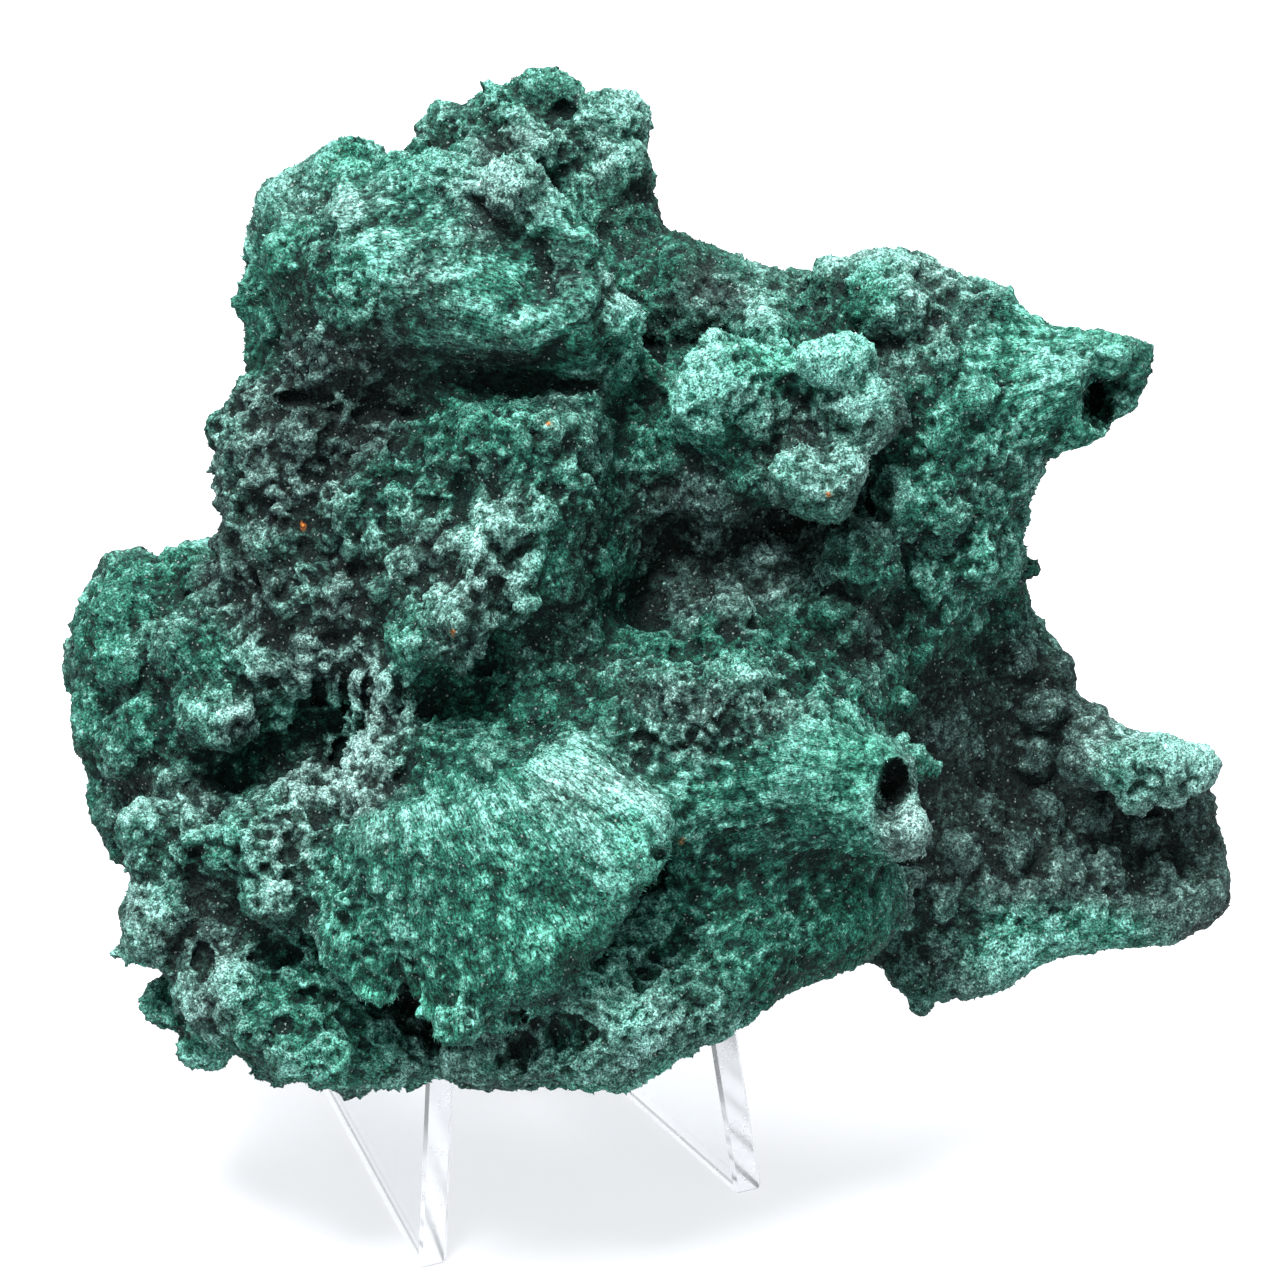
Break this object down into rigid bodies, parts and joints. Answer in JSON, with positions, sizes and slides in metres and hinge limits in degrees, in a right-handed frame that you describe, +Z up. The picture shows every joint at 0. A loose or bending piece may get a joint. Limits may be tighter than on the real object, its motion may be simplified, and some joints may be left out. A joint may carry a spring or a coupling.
{
  "type": "malachite specimen on an acrylic easel",
  "caption": "Fibrous velvet malachite: knobby fused lobes, a fan of fibres, two hollow bundles and a thin shelf, leaning on a clear acrylic easel with splayed side plates.",
  "frame": {"origin": "bottom centre of the whole object's box, on the surface that the easel stands on", "axes": "+Z up; the easel and the display side of the stone face -Y; +X to the viewer's right"},
  "size_m": [0.1134, 0.0968, 0.1078],
  "materials": {
    "malachite": "velvety, fine fibrous crust",
    "acrylic": "clear polished cast acrylic"
  },
  "bodies": {
    "root": {"malachite": "malachite", "easel_left_side": "acrylic", "easel_right_side": "acrylic", "easel_brace": "acrylic"}
  },
  "joints": []
}
